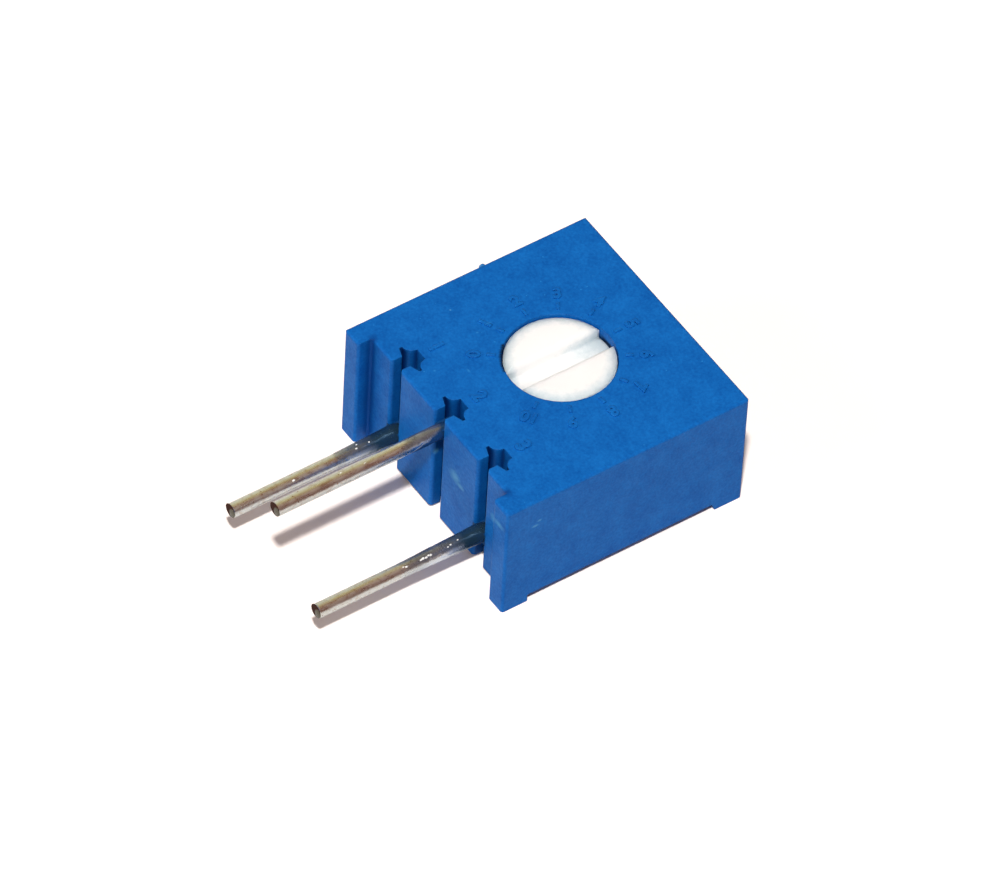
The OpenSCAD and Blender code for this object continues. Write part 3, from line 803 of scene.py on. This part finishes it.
def makeSleeve(pin, s, r):
    x, z = pinCentre(pin)
    steps = len(s["swell"]) - 1
    stride = s["reach"] * mm / steps
    place = Vector((x, wallY + r["mouth"], z))
    deselectAll()
    bpy.ops.mesh.primitive_circle_add(vertices=r["around"], radius=r["within"], fill_type="NGON",
                                      location=(x, wallY + r["inside"], z),
                                      rotation=(math.radians(90), 0, 0))
    obj = bpy.context.object
    applyPlace(obj)
    bpy.ops.object.mode_set(mode="EDIT")
    bpy.ops.mesh.select_all(action="SELECT")
    bpy.ops.mesh.extrude_region_move(
        TRANSFORM_OT_translate={"value": (0, place.y - wallY - r["inside"], 0)})
    grow = s["swell"][0] * mm / r["within"]
    bpy.ops.transform.resize(value=(grow, 1, grow), center_override=place)
    for k in range(steps):
        bpy.ops.mesh.extrude_region_move(TRANSFORM_OT_translate={"value": (0, -stride, 0)})
        place.y -= stride
        wave = s["seed"] * (k + 1)
        drift = Vector((math.sin(wave), 0, math.sin(r["wanderRatio"] * wave)))
        drift *= r["wander"] * (1 - (k + 1) / steps)
        bpy.ops.transform.translate(value=drift)
        grow = s["swell"][k + 1] / s["swell"][k]
        bpy.ops.transform.resize(value=(grow, 1, grow), center_override=place)
        bpy.ops.transform.translate(value=-drift)
    bpy.ops.mesh.select_all(action="SELECT")
    bpy.ops.mesh.normals_make_consistent(inside=False)
    bpy.ops.object.mode_set(mode="OBJECT")
    applyModifier(obj, "SUBSURF", levels=1)
    clouds = bpy.data.textures.new("lumps_" + pin, "CLOUDS")
    clouds.noise_scale = r["lumpSize"]
    applyModifier(obj, "DISPLACE", texture=clouds, texture_coords="LOCAL", strength=r["lumps"],
                  mid_level=r["lumpLevel"])
    finishPiece(obj, "sleeve_" + pin, makeResin(pin, s, r), "housing", angle=60)


for pin in pinNames:
    makeSleeve(pin, sleeves[pin], resin)

print("Pin ends")

burr = {
    "around": 40,  # corners of its rim
    "reach": 0.07 * mm,
    "past": 0.01 * mm,  # how far it stands past the wire's end
    "flare": 1.04,  # its rim and its foot, in the wire's radii
    "foot": 0.97,
    "lift": (-0.0075 * mm, 0, 0.015 * mm),  # the cutter pushes the lip up and to the left
    "soften": 0.012 * mm,
}


def makeBurr(pin, b):
    x, z = pinCentre(pin)
    deselectAll()
    bpy.ops.mesh.primitive_cone_add(vertices=b["around"], radius1=pinRadius * b["flare"],
                                    radius2=pinRadius * b["foot"], depth=b["reach"],
                                    location=(x, pinTipY + b["reach"] / 2 - b["past"], z),
                                    rotation=(math.radians(-90), 0, 0))
    obj = bpy.context.object
    applyPlace(obj)
    bpy.ops.object.mode_set(mode="EDIT")
    bpy.ops.mesh.select_all(action="DESELECT")
    bpy.ops.object.mode_set(mode="OBJECT")
    for vertex in obj.data.vertices:
        vertex.select = vertex.co.y < pinTipY
    bpy.ops.object.mode_set(mode="EDIT")
    bpy.ops.transform.translate(value=b["lift"])
    bpy.ops.object.mode_set(mode="OBJECT")
    applyModifier(obj, "BEVEL", width=b["soften"], segments=2, limit_method="ANGLE")
    finishPiece(obj, "burr_" + pin, tinnedWire[pin], "housing", angle=40)


for pin in pinNames:
    makeBurr(pin, burr)

print("Beads and gate")

bead = {
    "stretch": (1, 1.5, 1),  # they run a little along the pin
    # Pin, distance from the wall, place round the pin in degrees from +X, and radius, in mm
    "places": [
        ("right_pin", 1.98, 62, 0.035), ("right_pin", 2.06, 66, 0.03),
        ("right_pin", 2.16, 60, 0.036), ("right_pin", 2.28, 63, 0.04),
        ("right_pin", 2.36, 60, 0.03), ("right_pin", 2.92, 62, 0.034),
        ("right_pin", 3.02, 70, 0.022), ("right_pin", 1.2, 66, 0.026),
        ("right_pin", 1.32, 60, 0.022), ("right_pin", 0.9, 74, 0.022),
        ("left_pin", 3.98, 58, 0.036), ("left_pin", 1.5, 70, 0.03), ("left_pin", 1.42, 96, 0.024),
        ("left_pin", 1.0, 72, 0.022), ("middle_pin", 2.9, 80, 0.02), ("middle_pin", 3.8, 94, 0.02),
    ],
}


def makeBeads(b):
    parts = []
    for pin, out, angle, radius in b["places"]:
        x, z = pinCentre(pin)
        onPin = sleeveRadius(pin, out)
        a = math.radians(angle)
        deselectAll()
        bpy.ops.mesh.primitive_uv_sphere_add(segments=16, ring_count=8, radius=radius * mm)
        obj = bpy.context.object
        obj.scale = b["stretch"]
        obj.location = (x + math.cos(a) * onPin, wallY - out * mm, z + math.sin(a) * onPin)
        applyPlace(obj)
        parts.append(obj)
    # the beads are droplets on the pins; their near-white colour is a painted glint
    finishPiece(joinAll(parts), "beads", finish["beadPaintedGlint"], "housing", angle=60)


gate = {  # the trace of the moulding gate, on the left side
    "radius": 0.12 * mm,
    "depth": 0.12 * mm,
    "behind": 0.13 * mm,  # the rotor's axis
    "below": 0.12 * mm,  # the top
    "soften": 0.03 * mm,
}


def makeGate(g):
    deselectAll()
    bpy.ops.mesh.primitive_cylinder_add(
        vertices=24, radius=g["radius"], depth=g["depth"], rotation=(0, math.radians(90), 0),
        location=(housingLow.x, axisY + g["behind"], topZ - g["below"]))
    obj = bpy.context.object
    applyModifier(obj, "BEVEL", width=g["soften"], segments=2, limit_method="ANGLE")
    finishPiece(obj, "gate", finish["housingPlastic"], "housing")


makeBeads(bead)
makeGate(gate)
